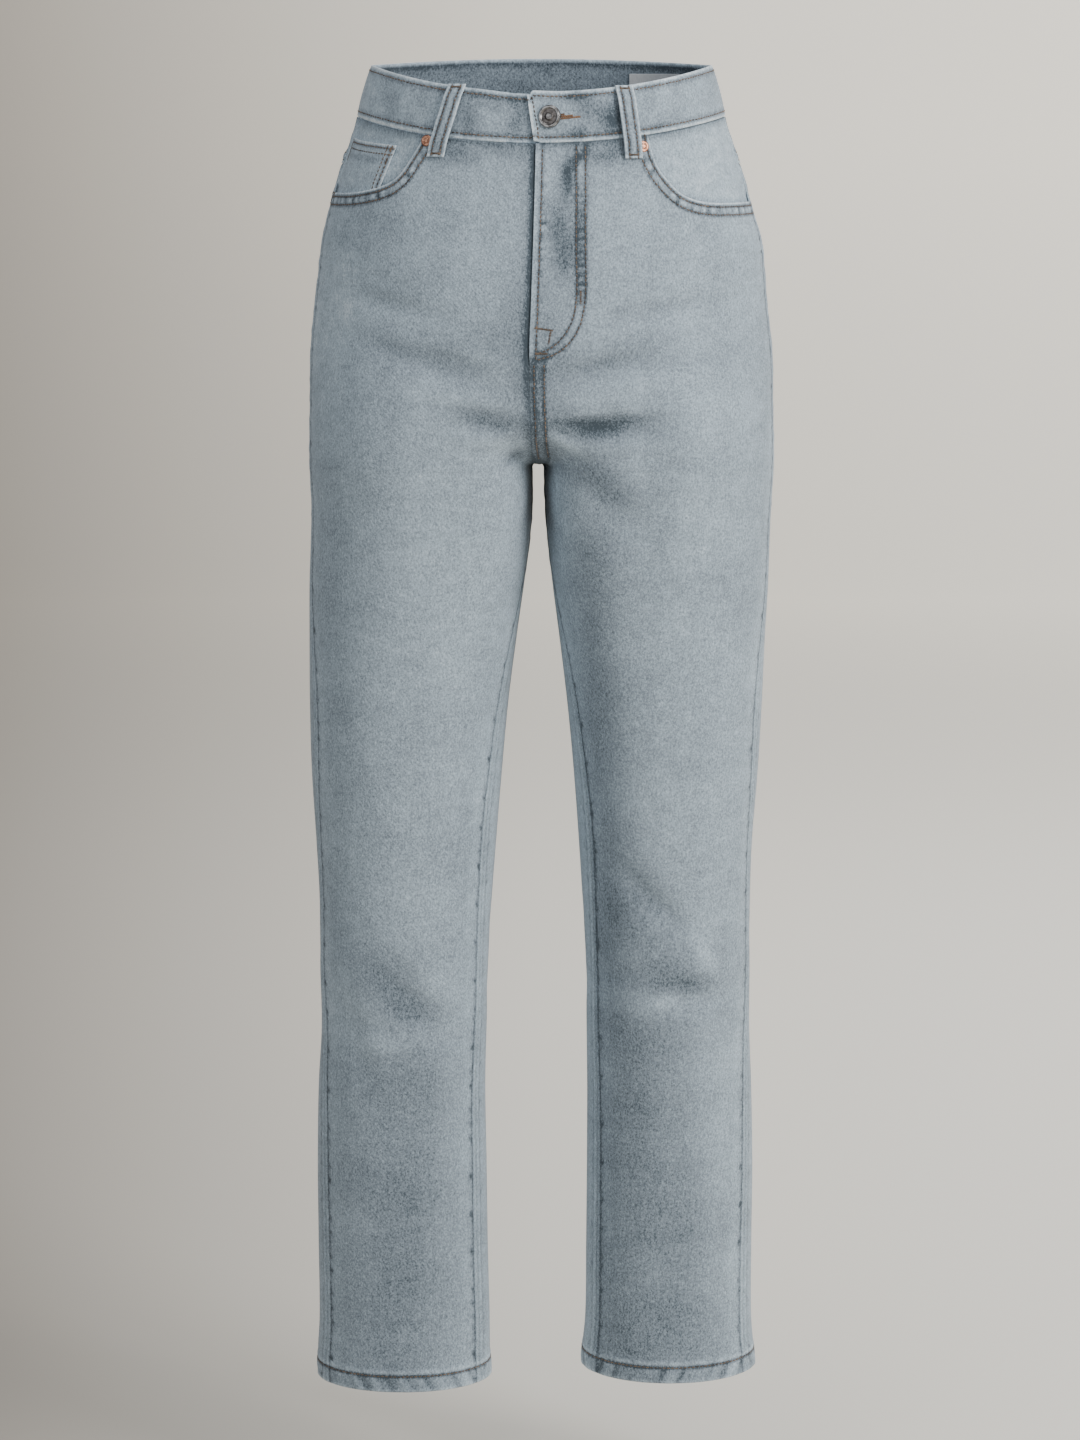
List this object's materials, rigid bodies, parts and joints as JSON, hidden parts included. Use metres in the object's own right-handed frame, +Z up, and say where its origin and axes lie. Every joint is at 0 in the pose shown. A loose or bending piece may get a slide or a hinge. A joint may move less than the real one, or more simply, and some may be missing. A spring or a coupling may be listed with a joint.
{
  "type": "straight jeans",
  "caption": "High-rise straight-leg denim jeans, filled out and hollow, with waistband, belt loops, zip fly, scooped front pockets and patch back pockets.",
  "frame": {"origin": "centre of the waist opening, half way up the waistband, where the wearer holds the jeans up", "axes": "-Y to the front of the jeans, +X to the wearer's left, +Z up out of the waist opening"},
  "size_m": [0.3496, 0.2457, 1.0052],
  "materials": {
    "front_panels": "light washed blue denim, matt twill",
    "back_panels": "light washed blue denim, matt twill",
    "yokes": "light washed blue denim, matt twill",
    "waistband": "light washed blue denim, matt twill",
    "pocket_facings": "light washed blue denim, matt twill",
    "coin_pocket": "light washed blue denim, matt twill",
    "zip": "matt woven tape with a closed zip",
    "fly_shield": "light washed blue denim, matt twill",
    "back_pockets": "light washed blue denim, matt twill",
    "belt_loops": "light washed blue denim, white worn edges",
    "button": "grey metal, satin",
    "rivets": "copper coloured metal, satin",
    "label": "pale woven tape, bare"
  },
  "bodies": {
    "root": {"front_right": "front_panels", "front_left": "front_panels", "back_right": "back_panels", "back_left": "back_panels", "yoke_right": "yokes", "yoke_left": "yokes", "waistband": "waistband", "pocket_facing_right": "pocket_facings", "pocket_facing_left": "pocket_facings", "coin_pocket": "coin_pocket", "fly_zip": "zip", "fly_shield": "fly_shield", "back_pocket_right": "back_pockets", "back_pocket_left": "back_pockets", "belt_loop_front_right": "belt_loops", "belt_loop_front_left": "belt_loops", "belt_loop_back_right": "belt_loops", "belt_loop_back_centre": "belt_loops", "belt_loop_back_left": "belt_loops", "waist_button": "button", "rivet_right": "rivets", "rivet_left": "rivets", "waist_label": "label"}
  },
  "joints": []
}
